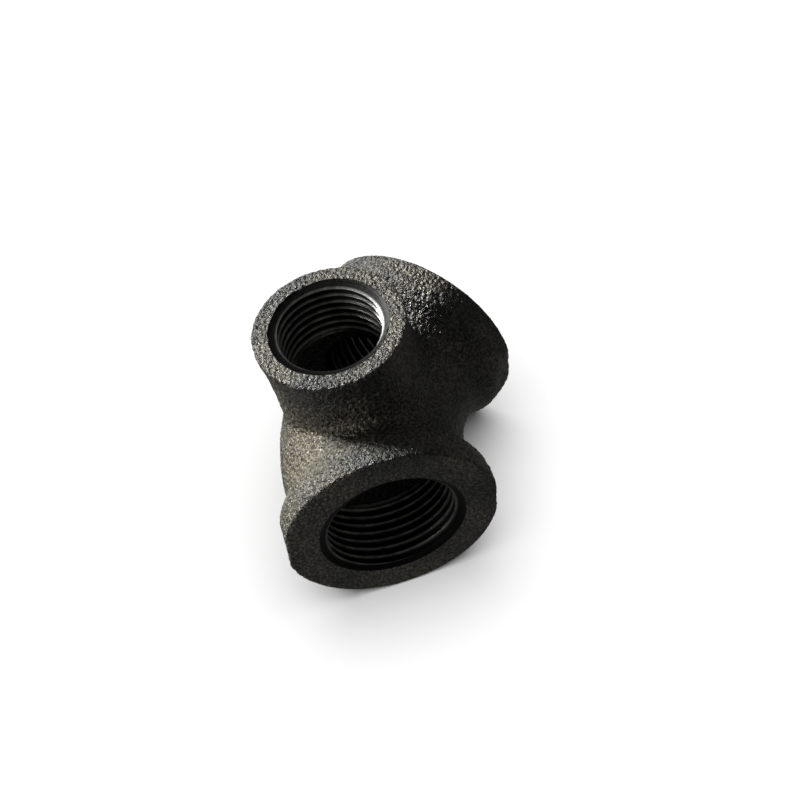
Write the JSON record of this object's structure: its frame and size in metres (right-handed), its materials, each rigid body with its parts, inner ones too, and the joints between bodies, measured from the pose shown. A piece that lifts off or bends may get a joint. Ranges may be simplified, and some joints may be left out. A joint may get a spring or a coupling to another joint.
{
  "type": "side outlet elbow pipe fitting",
  "caption": "Black malleable iron 135-degree side-outlet elbow: banded equal arms and a smaller plain outlet square to them, all with internal pipe threads.",
  "frame": {"origin": "centre of the bounding box on X and Y, at the height of the lowest points of the two arm bands", "axes": "+Z along the outlet, out of its mouth; X square to the mirror plane of the outside shape, with the front arm towards -X and the rear arm towards +X; both arms lean towards -Y and the belly faces +Y"},
  "size_m": [0.0608, 0.0422, 0.0485],
  "materials": {
    "cast_iron_skin": "rough sand-cast skin with a dull black finish",
    "tapped_iron": "machined thread flanks, oiled and dark"
  },
  "bodies": {
    "root": {"elbow_body": "cast_iron_skin", "front_socket": "cast_iron_skin", "rear_socket": "cast_iron_skin", "front_band": "cast_iron_skin", "rear_band": "cast_iron_skin", "outlet_socket": "cast_iron_skin", "front_thread": "tapped_iron", "rear_thread": "tapped_iron", "outlet_thread": "tapped_iron"}
  },
  "joints": []
}
